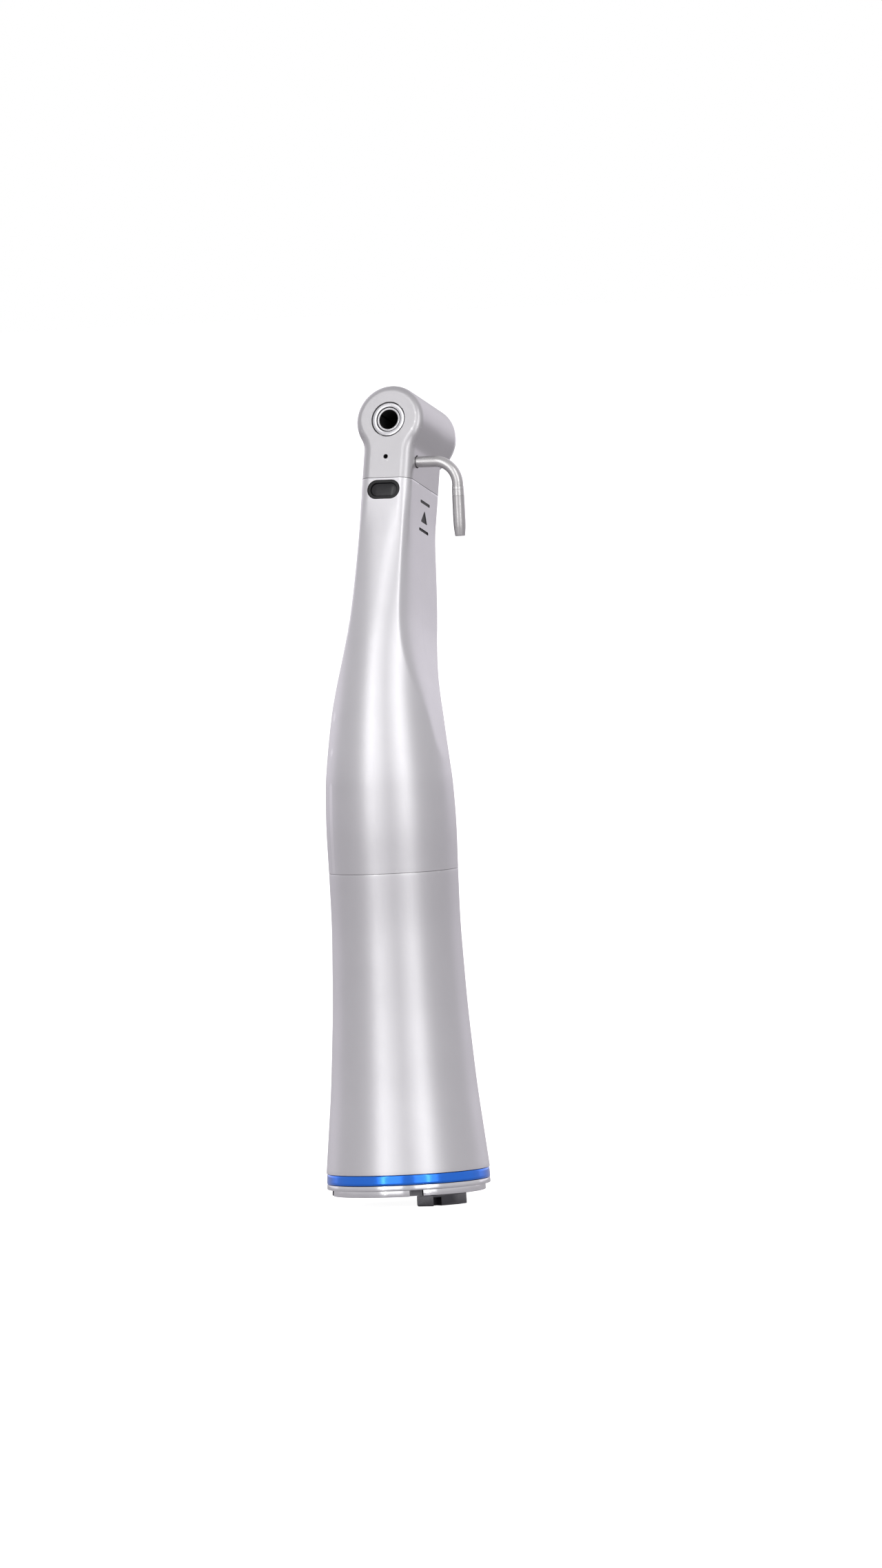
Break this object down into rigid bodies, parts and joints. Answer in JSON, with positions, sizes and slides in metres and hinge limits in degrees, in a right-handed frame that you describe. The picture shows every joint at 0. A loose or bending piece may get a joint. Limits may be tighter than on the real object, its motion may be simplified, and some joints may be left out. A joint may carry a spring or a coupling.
{
  "type": "dental contra-angle handpiece",
  "caption": "Bent steel dental handpiece with geared shafts, push-button head, light window, side irrigation tube and a coloured ring at its motor coupling.",
  "frame": {"origin": "centre of the rear end face, on the motor axis", "axes": "+Z along the motor axis towards the head, -Y the side the bur leaves from, +X the side with the irrigation tube"},
  "size_m": [0.02, 0.0282, 0.0995],
  "materials": {
    "satin_steel": "fine satin, bead blasted",
    "polished_steel": "turned and polished",
    "blue_band": "blue anodised, glossy",
    "dark_lug": "dark satin",
    "inner_steel": "machined",
    "brass": "machined",
    "hard_steel": "ground",
    "race_steel": "ground bearing steel",
    "ball_cage": "machined",
    "black_frame": "black",
    "smoked_lens": "polished dark lens",
    "fibre_rod": "clear glass rod shown opaque",
    "seal_rubber": "matt"
  },
  "bodies": {
    "housing": {"rear_sheath": "satin_steel", "neck_housing": "satin_steel", "head_housing": "satin_steel", "head_cap": "satin_steel", "rear_flange_ring": "polished_steel", "ring_nut": "polished_steel", "coupling_sleeve": "polished_steel", "colour_band": "blue_band", "alignment_lug": "dark_lug", "rear_cartridge": "inner_steel", "bearing_spacer": "inner_steel", "cartridge_nut": "brass", "neck_cartridge": "inner_steel", "cartridge_collar": "brass", "window_frame": "black_frame", "light_lens": "smoked_lens", "light_guide": "fibre_rod", "coolant_tube": "polished_steel", "hose_nipple": "polished_steel", "tube_seal": "seal_rubber", "button_spring": "hard_steel", "rear_bearing_outer_race": "race_steel", "elbow_bearing_outer_race": "race_steel", "neck_rear_bearing_outer_race": "race_steel", "neck_front_bearing_outer_race": "race_steel", "head_front_bearing_outer_race": "race_steel", "head_rear_bearing_outer_race": "race_steel"},
    "rear_shaft_line": {"rear_shaft": "hard_steel", "rear_drive_gear": "hard_steel", "dog_pin": "hard_steel", "dog_spring": "hard_steel", "rear_bearing_inner_race": "race_steel", "elbow_bearing_inner_race": "race_steel"},
    "drive_dog": {"drive_dog": "hard_steel"},
    "neck_shaft_line": {"neck_shaft": "hard_steel", "neck_driven_gear": "hard_steel", "neck_pinion": "hard_steel", "neck_rear_bearing_inner_race": "race_steel", "neck_front_bearing_inner_race": "race_steel"},
    "spindle_line": {"spindle": "polished_steel", "chuck_collet": "polished_steel", "head_gear": "hard_steel", "head_front_bearing_inner_race": "race_steel", "head_rear_bearing_inner_race": "race_steel"},
    "push_button": {"push_button": "polished_steel"},
    "rear_bearing_cage": {"rear_bearing_ball_cage": "ball_cage"},
    "elbow_bearing_cage": {"elbow_bearing_ball_cage": "ball_cage"},
    "neck_rear_bearing_cage": {"neck_rear_bearing_ball_cage": "ball_cage"},
    "neck_front_bearing_cage": {"neck_front_bearing_ball_cage": "ball_cage"},
    "head_front_bearing_cage": {"head_front_bearing_ball_cage": "ball_cage"},
    "head_rear_bearing_cage": {"head_rear_bearing_ball_cage": "ball_cage"}
  },
  "joints": [
    {"name": "rear_shaft_spin", "type": "hinge", "parent": "housing", "child": "rear_shaft_line", "pos_m": [0, 0, 0.0595], "axis": [0, 0, 1], "continuous": true},
    {"name": "neck_shaft_spin", "type": "hinge", "parent": "housing", "child": "neck_shaft_line", "pos_m": [0, 0, 0.0595], "axis": [0, 0.3007, 0.9537], "continuous": true},
    {"name": "spindle_spin", "type": "hinge", "parent": "housing", "child": "spindle_line", "pos_m": [0, 0.01046, 0.09269], "axis": [0, 0.9537, -0.3007], "continuous": true},
    {"name": "drive_dog_slide", "type": "slide", "parent": "rear_shaft_line", "child": "drive_dog", "axis": [0, 0, 1], "range_m": [0, 0.0012], "stiffness_N_per_m": 400, "springref_m": -0.0008, "deforming": ["dog_spring"]},
    {"name": "push_button_press", "type": "slide", "parent": "housing", "child": "push_button", "axis": [0, -0.9537, 0.3007], "range_m": [0, 0.0005], "stiffness_N_per_m": 800, "springref_m": -0.0005, "deforming": ["button_spring"]},
    {"name": "rear_bearing_cage_spin", "type": "hinge", "parent": "housing", "child": "rear_bearing_cage", "pos_m": [0, 0, 0.0595], "axis": [0, 0, 1], "continuous": true},
    {"name": "elbow_bearing_cage_spin", "type": "hinge", "parent": "housing", "child": "elbow_bearing_cage", "pos_m": [0, 0, 0.0595], "axis": [0, 0, 1], "continuous": true},
    {"name": "neck_rear_bearing_cage_spin", "type": "hinge", "parent": "housing", "child": "neck_rear_bearing_cage", "pos_m": [0, 0, 0.0595], "axis": [0, 0.3007, 0.9537], "continuous": true},
    {"name": "neck_front_bearing_cage_spin", "type": "hinge", "parent": "housing", "child": "neck_front_bearing_cage", "pos_m": [0, 0, 0.0595], "axis": [0, 0.3007, 0.9537], "continuous": true},
    {"name": "head_front_bearing_cage_spin", "type": "hinge", "parent": "housing", "child": "head_front_bearing_cage", "pos_m": [0, 0.01046, 0.09269], "axis": [0, 0.9537, -0.3007], "continuous": true},
    {"name": "head_rear_bearing_cage_spin", "type": "hinge", "parent": "housing", "child": "head_rear_bearing_cage", "pos_m": [0, 0.01046, 0.09269], "axis": [0, 0.9537, -0.3007], "continuous": true}
  ],
  "couplings": [
    {"joint": "neck_shaft_spin", "follows": "rear_shaft_spin", "ratio": 1},
    {"joint": "spindle_spin", "follows": "rear_shaft_spin", "ratio": 1},
    {"joint": "rear_bearing_cage_spin", "follows": "rear_shaft_spin", "ratio": 0.391},
    {"joint": "elbow_bearing_cage_spin", "follows": "rear_shaft_spin", "ratio": 0.391},
    {"joint": "neck_rear_bearing_cage_spin", "follows": "rear_shaft_spin", "ratio": 0.408},
    {"joint": "neck_front_bearing_cage_spin", "follows": "rear_shaft_spin", "ratio": 0.408},
    {"joint": "head_front_bearing_cage_spin", "follows": "rear_shaft_spin", "ratio": 0.425},
    {"joint": "head_rear_bearing_cage_spin", "follows": "rear_shaft_spin", "ratio": 0.425}
  ]
}
